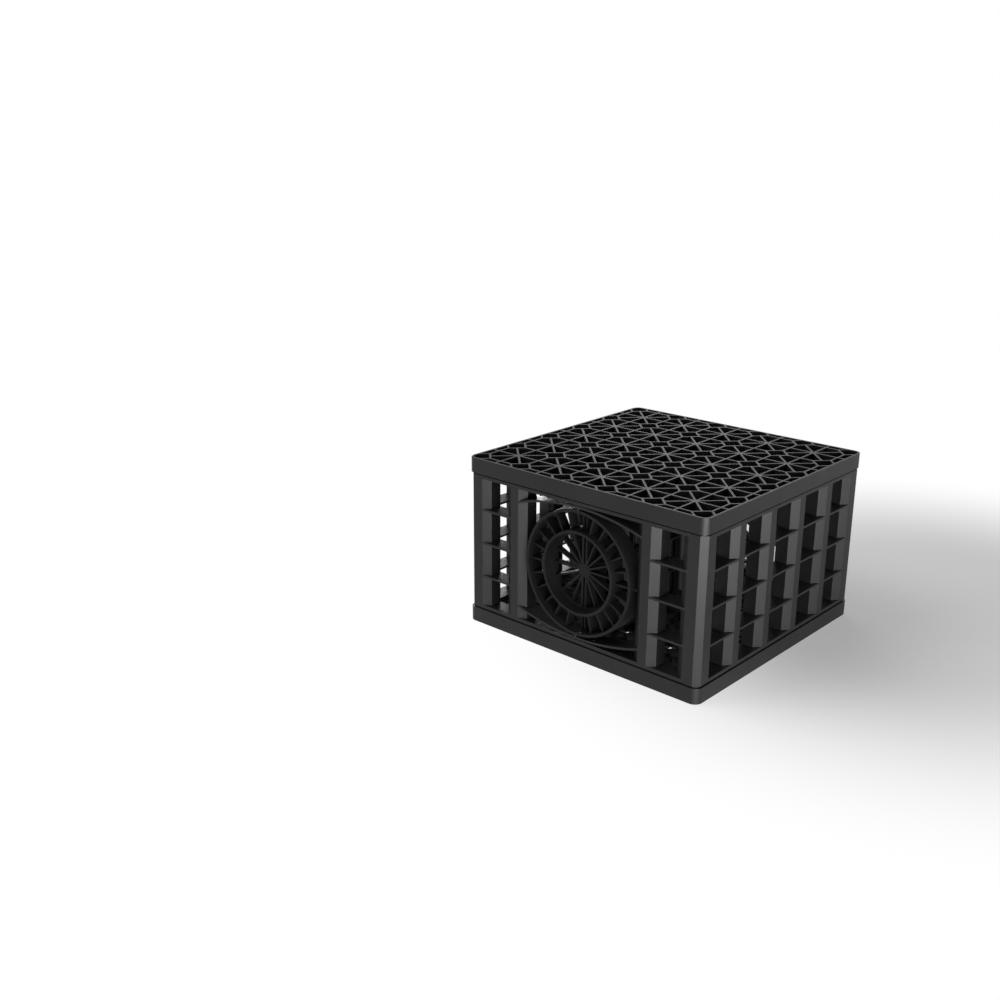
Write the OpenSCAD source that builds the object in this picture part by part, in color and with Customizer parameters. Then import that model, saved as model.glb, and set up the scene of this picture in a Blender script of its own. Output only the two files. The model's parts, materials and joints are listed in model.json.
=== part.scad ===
// Soakaway crate, one unit: an open lattice block that is buried to hold rain water and let it soak away.
// Two lattice plates close a cage of two port walls, two side walls and two inner panels.
// Millimetres, +Z up, origin at the middle of the underside, port walls at -Y and +Y.

/* [Overall] */
// Width along the port walls
body_w = 600; // [520:1:900]
// Depth along the side walls
body_d = 600; // [480:1:900]
// Height over both plates
body_h = 375; // [360:1:560]
// Outer corner radius of the plates
corner_r = 18; // [14:0.5:24]

/* [Plates] */
// Height of the rim band
rim_h = 33; // [28:1:44]
// Thickness of the rim band
rim_t = 5; // [3:0.5:8]
// Height of the lattice ribs
lattice_h = 22; // [14:1:26]
// Thickness of the lattice ribs
lattice_t = 4.5; // [3:0.25:6]
// From the outer edge to the first lattice line
edge_margin = 20; // [16:0.5:26]
// Side of the small square where four cells meet, between rib middles
node_side = 38; // [28:0.5:46]
// Radius of the hub in the middle of each star
hub_r = 7; // [5:0.25:10]

/* [Walls] */
// How far the wall faces stand back from the rim faces
face_back = 2; // [0:0.25:4]
// Height of the shadow gap between a rim and the wall faces
shadow_gap = 3; // [2:0.25:6]
// Depth of a post's slanted flank
flank_depth = 12; // [8:0.5:16]
// Depth of the webs behind the flanks, and of shelves and ledges
wall_depth = 40; // [32:0.5:46]
// Thickness of the post sheet
post_t = 3; // [2.5:0.25:4]
// Width of a post's flat front
post_flat = 20; // [14:0.5:26]
// Sideways run of a post's slanted flank
post_run = 16; // [10:0.5:20]
// Length of a corner post's flat, along each wall
corner_flat = 20; // [14:0.5:26]
// Radius of the corner posts
corner_post_r = 17; // [12:0.5:22]
// Thickness of the shelves
shelf_t = 4.5; // [3:0.25:6]
// Rows of openings up a wall
rows = 4; // [3:1:6]
// Thickness of the rails that stand inside the rims
rail_t = 6.5; // [4:0.25:8]
// Height of the ledge that closes a wall face above and below
ledge_h = 7; // [4:0.5:10]
// Play between a rail and the inside of a rim
rail_play = 0.5; // [0.2:0.05:1]
// Overlap of a port wall behind a corner post
lap = 14; // [8:0.5:16]
// Play between the edge of a corner flat and the port wall's flank
lap_play = 0.4; // [0.2:0.05:1]

/* [Ports] */
// Inside diameter of the small port ring
port_small_d = 168; // [110:1:180]
// Inside diameter of the large port ring
port_large_d = 257; // [200:1:264]
// Wall of the port rings
ring_t = 6; // [4:0.25:8]
// Depth of the small port ring
small_depth = 40; // [36:0.5:50]
// Depth of the large port ring
large_depth = 40; // [36:0.5:46]
// How far the spokes stand back from the ring fronts, which is how deep a pipe goes in
spoke_back = 25; // [18:0.5:26]
// Height of the shoulder that stops a pipe in the small ring
pipe_stop = 4; // [2:0.5:6]
// Depth of the spokes
spoke_depth = 14; // [8:0.5:20]
// Width of spokes, ribs and the upright pair
spoke_t = 4; // [3:0.25:6]
// Spokes in the small port, on each side of the upright pair
side_spokes = 7; // [3:1:9]
// Radius of the spoke hub
spoke_hub_r = 14; // [13:0.5:18]
// How far the ribs between the two rings stand back
rib_back = 10; // [4:0.5:14]
// Depth of the ribs
rib_depth = 24; // [16:0.5:30]
// Ribs between the two rings, on each side of the upright pair
side_ribs = 11; // [5:1:15]
// Depth of the upright pair that the inner panels seat on
upright_depth = 36; // [24:0.5:44]
// Rise of the arches over the span between the port posts
arch_rise = 25; // [14:0.5:28]
// Gap between the large ring and the top of an arch
arch_gap = 4; // [2:0.25:6]

/* [Inner panels] */
// Depth of the panels
panel_depth = 24; // [20:0.5:36]
// Gap between the two panels, and between the two uprights in a port
panel_gap = 5; // [4:0.25:10]
// Thickness of the end flanges
flange_t = 4; // [3:0.25:6]

/* [Hidden] */
$fn = 96;
cells = 5;
last = (cells - 1) / 2;
node_last = cells / 2;
pitch_x = (body_w - 2 * edge_margin) / cells;
pitch_y = (body_d - 2 * edge_margin) / cells;
half_w = body_w / 2;
half_d = body_d / 2;
mid_z = body_h / 2;
// Levels up a wall: the seat on the lattice ribs and the ends of the visible face
seat_low = lattice_h;
face_low = rim_h + shadow_gap;
face_high = body_h - rim_h - shadow_gap;
row_h = (face_high - face_low) / rows;
// Sideways thickness of a slanted flank whose sheet is post_t thick
flank_t = post_t * norm([post_run, flank_depth]) / flank_depth;
// Depth at which the inside of a flank turns into its web
web_start = (post_run - post_t + flank_t) * flank_depth / post_run;
post_half = post_flat / 2 + post_run;
corner_reach = corner_post_r + corner_flat;
// Rail faces, measured inwards from a wall face
rail_front = rim_t + rail_play - face_back;
// Chamfer of a lattice cell, from the side of the small square, and half a rib across that slant
chamfer = node_side / sqrt(2);
slant_half = lattice_t / sqrt(2);
// Posts beside the ports stand on the lattice line next to the outermost one
port_post_x = (node_last - 1) * pitch_x;
// Half length of each wall's face, and where a port wall's end flank starts
face_half_w = half_w - face_back;
face_half_d = half_d - face_back;
flank_x = face_half_w - corner_reach - lap_play;
lap_end = flank_x + lap_play + lap;
// Half length of the shelves between the corner posts, and of the inner panels between the uprights
shelf_half = face_half_d - corner_reach;
panel_half = face_half_d - spoke_back - upright_depth;
small_r = port_small_d / 2;
large_r = port_large_d / 2;
// Radius of the arches, from their rise over the half span between the port posts
arch_span = port_post_x - post_flat / 2;
arch_r = (pow(arch_span, 2) + pow(arch_rise, 2)) / (2 * arch_rise);
plastic = [0.10, 0.10, 0.11];
inner_plastic = [0.13, 0.13, 0.14];

// Lattice pattern

// A rectangle with rounded corners, centred
module rounded_2d(w, d, r) {
    square([w - 2 * r, d], center = true);
    square([w, d - 2 * r], center = true);
    for (sx = [-1, 1], sy = [-1, 1])
        translate([sx * (w / 2 - r), sy * (d / 2 - r)])
            circle(r = r);
}

// The hole between a straight spoke and the slanted spoke next to it, in a cell of a by b
module star_hole(a, b) {
    u = [a, b] / norm([a, b]);
    half = lattice_t / 2;
    k = (a + b) / 2 - chamfer - slant_half;
    meet = (u[0] * k + half) / (u[0] + u[1]);
    polygon([
        [hub_r, half],
        [a / 2 - half, half],
        [a / 2 - half, k - a / 2 + half],
        [meet, k - meet],
        [u[0] * hub_r + u[1] * half, u[1] * hub_r - u[0] * half],
    ]);
}

// The eight holes round one star
module star_holes() {
    for (sx = [0, 1], sy = [0, 1])
        mirror([sx, 0]) mirror([0, sy]) {
            star_hole(pitch_x, pitch_y);
            mirror([1, -1]) star_hole(pitch_y, pitch_x);
        }
}

// The small square hole where four cells meet
module node_hole() {
    rotate(45) square(node_side - lattice_t, center = true);
}

// The two slots between one outer cell and the rim, with the rim towards +X of the lattice line
module edge_slots(pitch) {
    half = lattice_t / 2;
    reach = edge_margin - rim_t;
    slant = pitch / 2 - chamfer - slant_half;
    for (s = [0, 1])
        mirror([0, s])
            polygon([[half, half], [reach, half], [reach, slant + reach], [half, slant + half]]);
}

// The whole plate seen from above
module plate_2d() {
    difference() {
        rounded_2d(body_w, body_d, corner_r);
        for (i = [-last:last], j = [-last:last])
            translate([i * pitch_x, j * pitch_y]) star_holes();
        intersection() {
            rounded_2d(body_w - 2 * rim_t, body_d - 2 * rim_t, corner_r - rim_t);
            for (i = [-node_last:node_last], j = [-node_last:node_last])
                translate([i * pitch_x, j * pitch_y]) node_hole();
        }
        for (j = [-last:last], s = [0, 1])
            mirror([s, 0])
                translate([half_w - edge_margin, j * pitch_y]) edge_slots(pitch_y);
        for (i = [-last:last], s = [0, 1])
            mirror([0, s])
                translate([i * pitch_x, half_d - edge_margin]) rotate(90) edge_slots(pitch_x);
    }
}

// A plate with its lattice face down on the ground plane and its rim standing up
module plate() {
    linear_extrude(lattice_h) plate_2d();
    translate([0, 0, lattice_h])
        linear_extrude(rim_h - lattice_h)
            difference() {
                rounded_2d(body_w, body_d, corner_r);
                rounded_2d(body_w - 2 * rim_t, body_d - 2 * rim_t, corner_r - rim_t);
            }
}

// Wall profiles, with X along the wall and Y inwards from its face

// A post of the given depth: flat front, two slanted flanks and a straight web behind each, open behind
module post_2d(depth) {
    front = post_flat / 2;
    skin = flank_t - post_run * post_t / flank_depth;
    polygon([
        [-post_half, depth],
        [-post_half, flank_depth],
        [-front, 0],
        [front, 0],
        [post_half, flank_depth],
        [post_half, depth],
        [post_half - post_t, depth],
        [post_half - post_t, web_start],
        [front - skin, post_t],
        [skin - front, post_t],
        [post_t - post_half, web_start],
        [post_t - post_half, depth],
    ]);
}

// A single flank that falls back towards -X from its outer edge, and its web
module flank_2d() {
    polygon([
        [0, 0],
        [-post_run, flank_depth],
        [-post_run, wall_depth],
        [post_t - post_run, wall_depth],
        [post_t - post_run, web_start],
        [flank_t - post_run * post_t / flank_depth, post_t],
        [0, post_t],
    ]);
}

// A shelf seen from above: from flank edge to flank edge in front, and from web to web behind
module shelf_2d(half) {
    deep = half - post_run + post_t / 2;
    translate([-half, 0]) square([2 * half, flank_depth]);
    translate([-deep, 0]) square([2 * deep, wall_depth]);
}

// Anything drawn flat as a shelf, at each row
module shelves() {
    for (k = [1:rows - 1])
        translate([0, 0, face_low + k * row_h - shelf_t / 2])
            linear_extrude(shelf_t) children();
}

// Anything built at the foot of a wall, there and upside down at its head
module foot_and_head() {
    for (s = [0, 1])
        translate([0, 0, s * body_h])
            mirror([0, 0, s]) children();
}

// Anything drawn flat as a ledge, where it closes a wall face below and above
module ledges() {
    foot_and_head()
        translate([0, 0, face_low])
            linear_extrude(ledge_h) children();
}

// The rails that stand inside the rims, from the lattice ribs into the ledges
module rails(half) {
    foot_and_head()
        translate([-half, rail_front, seat_low])
            cube([2 * half, rail_t, face_low + ledge_h / 2 - seat_low]);
}

// Anything drawn flat on a wall profile, raised over the visible face
module raised() {
    translate([0, 0, face_low]) linear_extrude(face_high - face_low) children();
}

// The corner of a ledge or rail seen from above, with its outside set back and rounded
module corner_2d(half, set_back, r) {
    back = rail_front + rail_t;
    side = 2 * corner_reach;
    intersection() {
        translate([half - corner_reach - rail_t, 0])
            square([corner_reach + rail_t, corner_reach - lap - lap_play]);
        difference() {
            translate([half - set_back - side / 2, set_back + side / 2]) rounded_2d(side, side, r);
            translate([half - back - side, back]) square(side);
        }
    }
}

// A corner post at the +X end of a side wall, with the flat that turns onto the port wall
module corner_post(half) {
    raised() {
        translate([half - corner_reach, 0]) flank_2d();
        translate([half - corner_reach, 0]) square([corner_flat, post_t]);
        translate([half - post_t, corner_post_r]) square([post_t, corner_flat]);
    }
    translate([half - corner_post_r, corner_post_r, face_low])
        rotate(-90)
            rotate_extrude(angle = 90)
                translate([corner_post_r - post_t, 0]) square([post_t, face_high - face_low]);
    // Ledge and rail go on round the corner, so that the shadow gap stays closed behind it
    ledges() corner_2d(half, 0, corner_post_r);
    foot_and_head()
        translate([0, 0, seat_low])
            linear_extrude(face_low + ledge_h / 2 - seat_low)
                corner_2d(half, rail_front, corner_r - rim_t - rail_play);
}

// A side wall with its face on the X axis and its middle at the origin
module side_wall() {
    raised()
        for (j = [1 - node_last:node_last - 1])
            translate([j * pitch_y, 0]) post_2d(wall_depth);
    for (s = [0, 1])
        mirror([s, 0]) corner_post(face_half_d);
    shelves() shelf_2d(shelf_half);
    ledges() shelf_2d(shelf_half);
    rails(shelf_half);
}

// A round ring through a port wall, turned from its section: X is the radius, Y runs inwards
module port_ring() {
    translate([0, 0, mid_z])
        rotate([-90, 0, 0])
            rotate_extrude() children();
}

// Section of the small ring, with the shoulder that stops a pipe in front of the spokes
module small_ring_2d() {
    polygon([
        [small_r, 0],
        [small_r + ring_t, 0],
        [small_r + ring_t, small_depth],
        [small_r - pipe_stop, small_depth],
        [small_r - pipe_stop, spoke_back],
        [small_r, spoke_back],
    ]);
}

// Section of the large ring
module large_ring_2d() {
    translate([large_r, 0]) square([ring_t, large_depth]);
}

// Ribs fanned over each side of the upright pair, from one radius to another
module fan_2d(count, from_r, to_r) {
    for (s = [0, 1], k = [1:count])
        mirror([s, 0])
            rotate(90 - k * 180 / (count + 1))
                translate([from_r, -spoke_t / 2]) square([to_r - from_r, spoke_t]);
}

// Anything drawn flat round the middle of a port, set back from the face and made as deep as asked
module in_port(back, depth) {
    translate([0, back, mid_z])
        rotate([-90, 0, 0])
            linear_extrude(depth) children();
}

// The grille of a port: hub and spokes in the small ring, ribs between the rings, two uprights through both
module port_web() {
    in_port(spoke_back, spoke_depth) {
        circle(r = spoke_hub_r);
        fan_2d(side_spokes, 0, small_r + ring_t / 2);
    }
    in_port(rib_back, rib_depth) fan_2d(side_ribs, small_r + ring_t / 2, large_r + ring_t / 2);
    in_port(spoke_back, upright_depth)
        for (s = [0, 1])
            mirror([s, 0])
                translate([panel_gap / 2, -large_r - ring_t / 2]) square([spoke_t, 2 * large_r + ring_t]);
}

// An arched shelf between the port posts, with the short web that holds it to the large ring
module arch() {
    low = large_r + ring_t + arch_gap;
    translate([-spoke_t / 2, 0, mid_z + large_r + ring_t / 2])
        cube([spoke_t, wall_depth, arch_gap + ring_t]);
    translate([0, 0, mid_z])
        rotate([-90, 0, 0])
            linear_extrude(wall_depth)
                intersection() {
                    translate([0, arch_r - low])
                        difference() {
                            circle(r = arch_r + shelf_t, $fn = 192);
                            circle(r = arch_r, $fn = 192);
                        }
                    translate([-arch_span, -2 * low]) square([2 * arch_span, 2 * low]);
                }
}

// The flank and web at the +X end of a port wall, with the strip that laps behind the corner post
module end_flank_2d() {
    polygon([
        [flank_x, 0],
        [flank_x - post_run, flank_depth],
        [flank_x - post_run, wall_depth],
        [flank_x - post_run + post_t, wall_depth],
        [flank_x - post_run + post_t, web_start],
        [flank_x + flank_t - post_run * 2 * post_t / flank_depth, 2 * post_t],
        [lap_end, 2 * post_t],
        [lap_end, post_t],
        [flank_x, post_t],
    ]);
}

// A port wall with its face on the X axis and its middle at the origin
module port_wall() {
    ring_mid = large_r + ring_t / 2;
    raised()
        for (s = [0, 1])
            mirror([s, 0]) {
                translate([port_post_x, 0]) post_2d(wall_depth);
                end_flank_2d();
            }
    shelves()
        difference() {
            shelf_2d(flank_x);
            square([2 * port_post_x, 3 * wall_depth], center = true);
        }
    for (s = [0, 1])
        mirror([s, 0, 0]) {
            // A short web behind the flank holds the large ring to the post at mid height
            translate([ring_mid, flank_depth, mid_z - shelf_t / 2])
                cube([port_post_x - post_half + post_t / 2 - ring_mid, large_depth - flank_depth, shelf_t]);
            // A low rail closes the shadow gap below and above the strip that laps
            foot_and_head()
                translate([flank_x - rail_t, rail_front, seat_low])
                    cube([lap_end - flank_x + rail_t, rail_t, face_low - lap_play - seat_low]);
        }
    port_ring() small_ring_2d();
    port_ring() large_ring_2d();
    port_web();
    arch();
    translate([0, 0, body_h]) mirror([0, 0, 1]) arch();
    ledges() shelf_2d(flank_x);
    rails(flank_x);
}

// An inner panel, a wall of like posts and shelves, whose end flanges seat on the uprights of the ports
module inner_panel() {
    raised() {
        for (j = [1 - node_last:node_last - 1])
            translate([j * pitch_y, 0]) post_2d(panel_depth);
        for (s = [0, 1])
            mirror([s, 0])
                translate([panel_half - flange_t, 0]) square([flange_t, panel_depth]);
    }
    shelves() panel_2d();
    ledges() panel_2d();
    rails(panel_half);
}

// An inner panel's shelf seen from above
module panel_2d() {
    translate([-panel_half, 0]) square([2 * panel_half, panel_depth]);
}

// Pieces

module base_plate() {
    color(plastic) plate();
}

module top_plate() {
    color(plastic)
        translate([0, 0, body_h]) mirror([0, 0, 1]) plate();
}

module port_wall_front() {
    color(plastic)
        translate([0, -face_half_d, 0]) port_wall();
}

module port_wall_back() {
    color(plastic)
        rotate(180) translate([0, -face_half_d, 0]) port_wall();
}

module side_wall_right() {
    color(plastic)
        translate([face_half_w, 0, 0]) rotate(90) side_wall();
}

module side_wall_left() {
    color(plastic)
        rotate(180) translate([face_half_w, 0, 0]) rotate(90) side_wall();
}

module inner_panel_right() {
    color(inner_plastic)
        translate([panel_gap / 2, 0, 0]) rotate(-90) inner_panel();
}

module inner_panel_left() {
    color(inner_plastic)
        rotate(180) translate([panel_gap / 2, 0, 0]) rotate(-90) inner_panel();
}

base_plate();
top_plate();
port_wall_front();
port_wall_back();
side_wall_left();
side_wall_right();
inner_panel_left();
inner_panel_right();
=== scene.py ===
import json
import math

import bpy
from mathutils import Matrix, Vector

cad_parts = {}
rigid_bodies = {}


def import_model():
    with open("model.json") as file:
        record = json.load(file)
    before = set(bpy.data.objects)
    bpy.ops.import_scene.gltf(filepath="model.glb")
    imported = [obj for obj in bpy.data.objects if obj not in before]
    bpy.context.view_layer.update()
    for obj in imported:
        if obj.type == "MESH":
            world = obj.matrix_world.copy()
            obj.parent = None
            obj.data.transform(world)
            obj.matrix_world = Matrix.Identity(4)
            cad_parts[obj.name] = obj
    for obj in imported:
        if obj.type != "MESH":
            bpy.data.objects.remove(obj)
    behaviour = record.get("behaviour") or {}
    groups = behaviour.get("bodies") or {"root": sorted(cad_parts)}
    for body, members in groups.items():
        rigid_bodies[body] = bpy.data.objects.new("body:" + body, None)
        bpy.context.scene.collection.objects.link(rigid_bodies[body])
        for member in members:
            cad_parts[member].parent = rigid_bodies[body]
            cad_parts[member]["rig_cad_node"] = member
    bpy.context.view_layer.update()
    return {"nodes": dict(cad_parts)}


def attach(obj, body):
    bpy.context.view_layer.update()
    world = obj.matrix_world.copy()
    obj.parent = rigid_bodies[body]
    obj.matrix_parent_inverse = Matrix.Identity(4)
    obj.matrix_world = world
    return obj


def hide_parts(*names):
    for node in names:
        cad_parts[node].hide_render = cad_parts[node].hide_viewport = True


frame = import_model()

# The eight mouldings of the crate, those that hold a port grille, and those that hold the corner posts
mouldings = (
    "base_plate",
    "top_plate",
    "port_wall_front",
    "port_wall_back",
    "side_wall_left",
    "side_wall_right",
    "inner_panel_left",
    "inner_panel_right",
)
port_walls = ("port_wall_front", "port_wall_back")
side_walls = ("side_wall_left", "side_wall_right")

# The grille lies round a port's axis, at half the crate's height, out to the outside of the large ring
port_height = 0.1875
grille_reach = 0.1352

# A port wall's shadow gaps start at this distance above and below the port's height
gap_level = 0.1515
# The fine steps in a gap lie this near to its start, and nearer to the crate's middle than the depth below
gap_reach = 0.0015
gap_depth = 0.297

# The round of a corner post: its middle, and the least radius of its face and of its inside
round_middle = 0.281
face_radius = 0.0165
inside_radius = 0.0135
# The inside of a corner post lies within this distance from half the crate's height
inside_height = 0.1455
# The facet that flattens the round starts at the end of the second of its eleven strips
facet_start = math.radians(2 * 90 / 11)

# Merging and rounding of the mouldings, in metres
weld_distance = 2e-6
edge_rounding = 0.0004
rounding_segments = 2
edge_angle = math.radians(34)
smooth_angle = math.radians(32)

# Moulded plastic: the scale and detail of its clouds, sheen patches and grain
cloud_scale = 9.0
cloud_detail = 4.0
patch_scale = 34.0
patch_detail = 3.0
grain_scale = 900.0
grain_detail = 2.0
# Where the clouds are darkest and palest, the strength of the grain, and the plastic's index of refraction
cloud_low = 0.32
cloud_high = 0.70
grain_strength = 0.5
plastic_ior = 1.49
# The darkest and palest colours of the plastic, and of its rounded edges, which are painted paler as a
# painted edge highlight
carbon_dark = (0.0015, 0.0015, 0.0016, 1)
carbon_pale = (0.0040, 0.0040, 0.0042, 1)
painted_highlight_dark = (0.006, 0.006, 0.0063, 1)
painted_highlight_pale = (0.012, 0.012, 0.0125, 1)
# The rounded edges, with their painted highlight, are the second material of a moulding
painted_highlight_slot = 1

# Floor, in metres
floor_size = 60
floor_z = -0.0004
floor_colour = (0.86, 0.86, 0.86, 1)
floor_roughness = 0.9
# The middle of the shadow, how white the floor is there, and where it starts and ends to fade into white
shadow_middle = (0.40, 0.45, 0.0)
white_near = 0.25
fade_start = 0.35
fade_end = 1.05

# Background, and the faint light that it sheds all round
pure_white = (1, 1, 1, 1)
white_strength = 1.0
faint_strength = 0.08

# The lamps face this point
crate_middle = (0.0, 0.0, 0.19)

# Camera, at the photograph's place
eye = Vector((1.36727, -1.99426, 1.06467))
look = Vector((-0.64612, 0.69530, -0.31478))
lens_mm = 41.914
sensor_mm = 36.0
far_end = 100.0


def deselect_all():
    """Leaves edit mode and deselects every object."""
    if bpy.context.object and bpy.context.object.mode != "OBJECT":
        bpy.ops.object.mode_set(mode="OBJECT")
    bpy.ops.object.select_all(action="DESELECT")


def new_material(name):
    """A new material, with its nodes and links."""
    material = bpy.data.materials.new(name)
    material.use_nodes = True
    return material, material.node_tree.nodes, material.node_tree.links


def object_noise(nodes, links, place, scale, detail):
    """A noise pattern on the piece's own metres."""
    noise = nodes.new("ShaderNodeTexNoise")
    noise.inputs["Scale"].default_value = scale
    noise.inputs["Detail"].default_value = detail
    links.new(place.outputs["Object"], noise.inputs["Vector"])
    return noise


def ramp(nodes, links, source, low, high, low_colour, high_colour):
    """Turns a pattern's value into a colour between two stops."""
    stops = nodes.new("ShaderNodeValToRGB")
    stops.color_ramp.elements[0].position = low
    stops.color_ramp.elements[0].color = low_colour
    stops.color_ramp.elements[1].position = high
    stops.color_ramp.elements[1].color = high_colour
    links.new(source, stops.inputs["Fac"])
    return stops


def span(nodes, links, source, low, high):
    """Turns a pattern's value, nought to one, into a number between two limits."""
    limits = nodes.new("ShaderNodeMapRange")
    limits.inputs["To Min"].default_value = low
    limits.inputs["To Max"].default_value = high
    links.new(source, limits.inputs["Value"])
    return limits


def moulded_plastic(name, dark, pale, rough_low, rough_high, mirror_level, grain_depth):
    """Carbon-black plastic: cloudy colour, patchy sheen and the fine grain of the tool."""
    material, nodes, links = new_material(name)
    shader = nodes["Principled BSDF"]
    place = nodes.new("ShaderNodeTexCoord")
    clouds = object_noise(nodes, links, place, cloud_scale, cloud_detail)
    colour = ramp(nodes, links, clouds.outputs["Fac"], cloud_low, cloud_high, dark, pale)
    links.new(colour.outputs["Color"], shader.inputs["Base Color"])
    patches = object_noise(nodes, links, place, patch_scale, patch_detail)
    sheen = span(nodes, links, patches.outputs["Fac"], rough_low, rough_high)
    links.new(sheen.outputs["Result"], shader.inputs["Roughness"])
    grain = object_noise(nodes, links, place, grain_scale, grain_detail)
    relief = nodes.new("ShaderNodeBump")
    relief.inputs["Strength"].default_value = grain_strength
    relief.inputs["Distance"].default_value = grain_depth
    links.new(grain.outputs["Fac"], relief.inputs["Height"])
    links.new(relief.outputs["Normal"], shader.inputs["Normal"])
    shader.inputs["IOR"].default_value = plastic_ior
    shader.inputs["Specular IOR Level"].default_value = mirror_level
    return material


black_plastic = moulded_plastic(
    "black_plastic",
    dark=carbon_dark,
    pale=carbon_pale,
    rough_low=0.40,
    rough_high=0.52,
    mirror_level=0.28,
    grain_depth=0.00012,
)
# Paler plastic for the rounded edges: a painted highlight along every edge
painted_edge_highlight = moulded_plastic(
    "painted_edge_highlight",
    dark=painted_highlight_dark,
    pale=painted_highlight_pale,
    rough_low=0.36,
    rough_high=0.46,
    mirror_level=0.28,
    grain_depth=0.00006,
)
# A copy of the plastic that reflects less: painted shade on the rings, ribs and spokes deep in a port
port_shade_plastic = moulded_plastic(
    "port_shade_plastic",
    dark=carbon_dark,
    pale=carbon_pale,
    rough_low=0.48,
    rough_high=0.60,
    mirror_level=0.15,
    grain_depth=0.00014,
)


def facet_corners(piece):
    """Flattens the round of a side wall's corner posts into one broad facet."""
    for point in piece.data.vertices:
        across = abs(point.co.x) - round_middle
        along = abs(point.co.y) - round_middle
        radius = math.hypot(across, along)
        in_post = abs(point.co.z - port_height) < inside_height and radius > inside_radius
        if min(across, along) > 0 and (in_post or radius > face_radius):
            # A point keeps its direction and goes to the flat face or to the facet, whichever is nearer
            flat = radius / max(across, along)
            facet = (1 + math.tan(facet_start)) * radius / (across + along)
            reach = min(flat, facet)
            point.co.x = math.copysign(round_middle + across * reach, point.co.x)
            point.co.y = math.copysign(round_middle + along * reach, point.co.y)


def leave_fine_steps(piece):
    """Takes a port wall's steps that are too fine to be rounded out of the chosen edges."""
    for edge in piece.data.edges:
        ends = [piece.data.vertices[index].co for index in edge.vertices]
        in_gap = all(abs(abs(end.z - port_height) - gap_level) < gap_reach for end in ends)
        behind_face = all(abs(end.y) < gap_depth for end in ends)
        if in_gap and behind_face:
            edge.select = False


def shade_port_grille(piece):
    """Gives the rings, ribs and spokes of a port a copy of the plastic that reflects less: painted shade
    in the port's recess.
    """
    piece.data.materials.append(port_shade_plastic)
    shade_slot = len(piece.data.materials) - 1
    for face in piece.data.polygons:
        if math.hypot(face.center.x, face.center.z - port_height) < grille_reach:
            face.material_index = shade_slot


def moulding(node):
    """Copies a node, welds its loose triangles and rounds its edges. The broad faces stay flat."""
    deselect_all()
    source = frame["nodes"][node]
    source.select_set(True)
    bpy.context.view_layer.objects.active = source
    bpy.ops.object.duplicate()
    piece = bpy.context.view_layer.objects.active
    del piece["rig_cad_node"]
    piece.name = "moulded_" + node
    piece.data.name = piece.name
    bpy.ops.object.mode_set(mode="EDIT")
    bpy.ops.mesh.select_all(action="SELECT")
    bpy.ops.mesh.remove_doubles(threshold=weld_distance)
    bpy.ops.object.mode_set(mode="OBJECT")
    if node in side_walls:
        facet_corners(piece)
    bpy.ops.object.mode_set(mode="EDIT")
    bpy.ops.mesh.select_all(action="DESELECT")
    bpy.ops.mesh.select_mode(type="EDGE")
    bpy.ops.mesh.edges_select_sharp(sharpness=edge_angle)
    bpy.ops.object.mode_set(mode="OBJECT")
    piece.data.materials.clear()
    piece.data.materials.append(black_plastic)
    piece.data.materials.append(painted_edge_highlight)
    if node in port_walls:
        leave_fine_steps(piece)
    bpy.ops.object.mode_set(mode="EDIT")
    # The faces of the rounding take the paler plastic, a painted edge highlight
    bpy.ops.mesh.bevel(
        offset=edge_rounding,
        segments=rounding_segments,
        affect="EDGES",
        loop_slide=False,
        material=painted_highlight_slot,
    )
    bpy.ops.object.mode_set(mode="OBJECT")
    if node in port_walls:
        shade_port_grille(piece)
    bpy.ops.object.shade_smooth_by_angle(angle=smooth_angle)
    bpy.ops.object.modifier_add(type="WEIGHTED_NORMAL")
    shading = piece.modifiers[-1]
    shading.keep_sharp = True
    bpy.ops.object.modifier_apply(modifier=shading.name)
    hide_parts(node)
    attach(piece, "root")


for node_name in mouldings:
    moulding(node_name)

# Floor and background
deselect_all()
bpy.ops.mesh.primitive_plane_add(size=floor_size, location=(0, 0, floor_z))
floor = bpy.context.object
floor.name = "floor"


def white_rays(nodes, links):
    """One for what the camera sees, also in a reflection or through glass, and nought for other light."""
    rays = nodes.new("ShaderNodeLightPath")
    seen = rays.outputs["Is Camera Ray"]
    for kind in ("Is Glossy Ray", "Is Transmission Ray"):
        either = nodes.new("ShaderNodeMath")
        either.operation = "MAXIMUM"
        links.new(seen, either.inputs[0])
        links.new(rays.outputs[kind], either.inputs[1])
        seen = either.outputs["Value"]
    return seen


floor_paint, nodes, links = new_material("floor_paint")
matt = nodes["Principled BSDF"]
matt.inputs["Base Color"].default_value = floor_colour
matt.inputs["Roughness"].default_value = floor_roughness
matt.inputs["Specular IOR Level"].default_value = 0.0
glow = nodes.new("ShaderNodeEmission")
glow.inputs["Color"].default_value = pure_white
glow.inputs["Strength"].default_value = white_strength
# The floor takes the object's shadow and fades into the white background further out
floor_place = nodes.new("ShaderNodeTexCoord")
from_shadow = nodes.new("ShaderNodeVectorMath")
from_shadow.operation = "DISTANCE"
from_shadow.inputs[1].default_value = shadow_middle
links.new(floor_place.outputs["Object"], from_shadow.inputs[0])
fade = nodes.new("ShaderNodeMapRange")
fade.interpolation_type = "SMOOTHSTEP"
fade.inputs["From Min"].default_value = fade_start
fade.inputs["From Max"].default_value = fade_end
fade.inputs["To Min"].default_value = white_near
fade.inputs["To Max"].default_value = 1.0
links.new(from_shadow.outputs["Value"], fade.inputs["Value"])
share = nodes.new("ShaderNodeMath")
share.operation = "MULTIPLY"
links.new(white_rays(nodes, links), share.inputs[0])
links.new(fade.outputs["Result"], share.inputs[1])
floor_mix = nodes.new("ShaderNodeMixShader")
links.new(share.outputs["Value"], floor_mix.inputs["Fac"])
links.new(matt.outputs["BSDF"], floor_mix.inputs[1])
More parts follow.
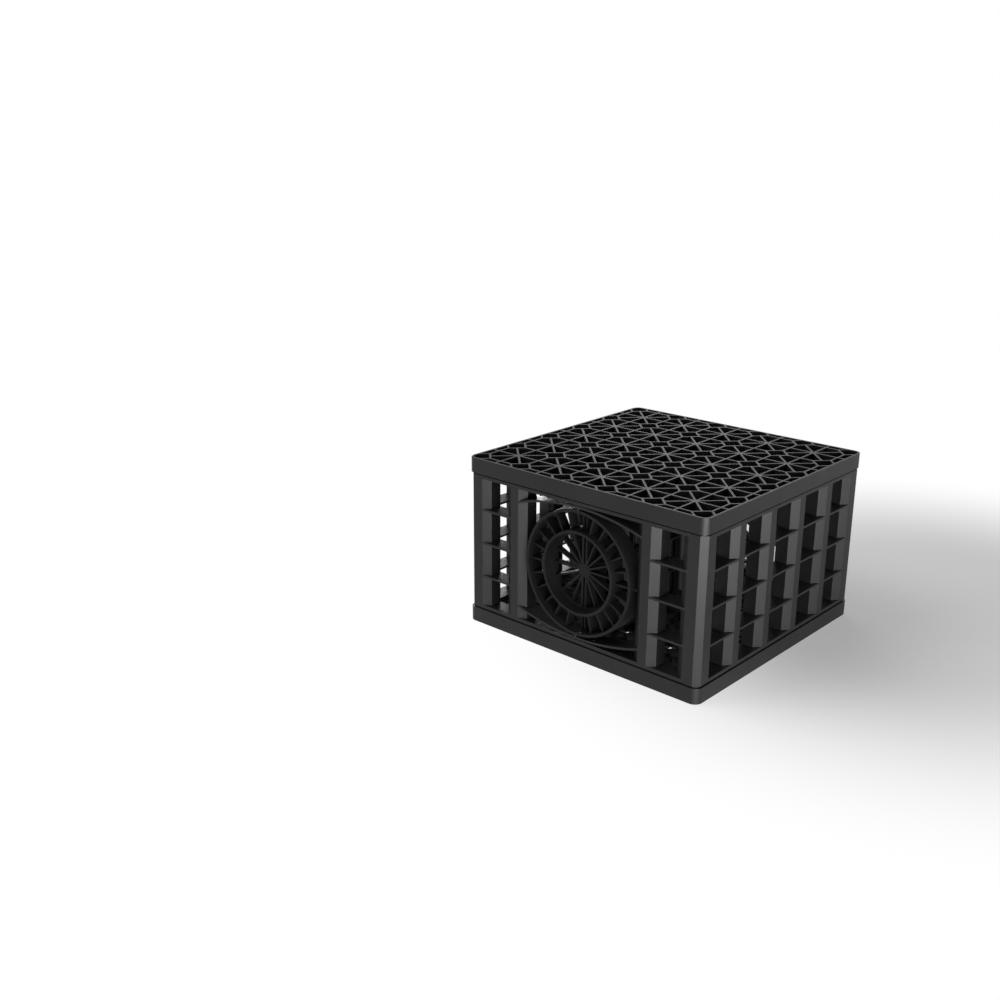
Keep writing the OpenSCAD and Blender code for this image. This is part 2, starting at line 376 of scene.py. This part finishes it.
links.new(glow.outputs["Emission"], floor_mix.inputs[2])
links.new(floor_mix.outputs["Shader"], nodes["Material Output"].inputs["Surface"])
floor.data.materials.append(floor_paint)

world = bpy.data.worlds.new("studio")
bpy.context.scene.world = world
world.use_nodes = True
nodes = world.node_tree.nodes
links = world.node_tree.links
faint = nodes["Background"]
faint.inputs["Color"].default_value = pure_white
faint.inputs["Strength"].default_value = faint_strength
backdrop = nodes.new("ShaderNodeBackground")
backdrop.inputs["Color"].default_value = pure_white
backdrop.inputs["Strength"].default_value = white_strength
world_mix = nodes.new("ShaderNodeMixShader")
links.new(white_rays(nodes, links), world_mix.inputs["Fac"])
links.new(faint.outputs["Background"], world_mix.inputs[1])
links.new(backdrop.outputs["Background"], world_mix.inputs[2])
links.new(world_mix.outputs["Shader"], nodes["World Output"].inputs["Surface"])


def soft_box(name, place, width, height, power):
    """A studio lamp that faces the middle of the crate."""
    deselect_all()
    bpy.ops.object.light_add(type="AREA", location=place)
    lamp = bpy.context.object
    lamp.name = name
    lamp.data.shape = "RECTANGLE"
    lamp.data.size = width
    lamp.data.size_y = height
    lamp.data.energy = power
    lamp.rotation_euler = (Vector(crate_middle) - Vector(place)).to_track_quat("-Z", "Y").to_euler()


# Lamps, in metres and watts
soft_box("low_lamp", place=(2.45, -1.75, 0.17), width=2.6, height=0.3, power=210.0)
soft_box("top_lamp", place=(-1.3, -1.1, 2.4), width=2.2, height=2.2, power=45.0)
soft_box("back_lamp", place=(-1.7, 2.5, 1.4), width=1.2, height=0.6, power=6.0)
soft_box("rear_lamp", place=(-2.63, 1.46, 0.17), width=2.6, height=0.3, power=110.0)

deselect_all()
bpy.ops.object.camera_add(location=eye)
camera = bpy.context.object
camera.name = "photo_camera"
camera.rotation_euler = look.to_track_quat("-Z", "Y").to_euler()
camera.data.lens = lens_mm
camera.data.sensor_width = sensor_mm
camera.data.clip_end = far_end
bpy.context.scene.camera = camera

bpy.context.scene.view_settings.view_transform = "Standard"

bpy.context.view_layer.update()
